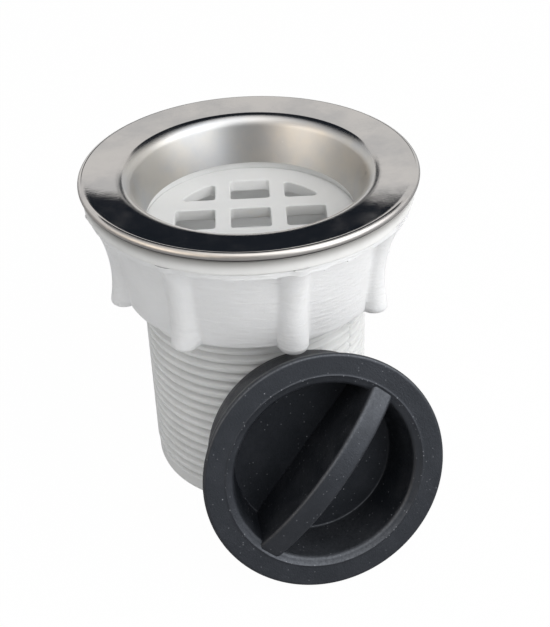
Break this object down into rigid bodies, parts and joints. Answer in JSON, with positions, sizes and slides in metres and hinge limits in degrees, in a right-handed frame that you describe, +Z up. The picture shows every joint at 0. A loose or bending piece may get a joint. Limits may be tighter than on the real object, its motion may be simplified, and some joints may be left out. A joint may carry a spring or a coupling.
{
  "type": "sink waste",
  "caption": "Sink waste with a stainless flange and dish, a white moulded strainer body with a threaded tail, a ribbed backnut, and a black rubber plug leaning on it.",
  "frame": {"origin": "on the tail's axis, in the plane of its foot", "axes": "+Z up along the tail's axis towards the flange, -Y towards the leaning plug"},
  "size_m": [0.0709, 0.0859, 0.0701],
  "materials": {
    "stainless_steel": "polished flat rim, satin dish",
    "white_body": "moulded, semi-matt",
    "soft_washer": "soft off-white, matt",
    "white_nut": "moulded, semi-matt",
    "black_rubber": "matt moulded rubber"
  },
  "bodies": {
    "root": {"steel_flange": "stainless_steel", "waste_body": "white_body", "seal_washer": "soft_washer", "backnut": "white_nut", "plug": "black_rubber"}
  },
  "joints": []
}
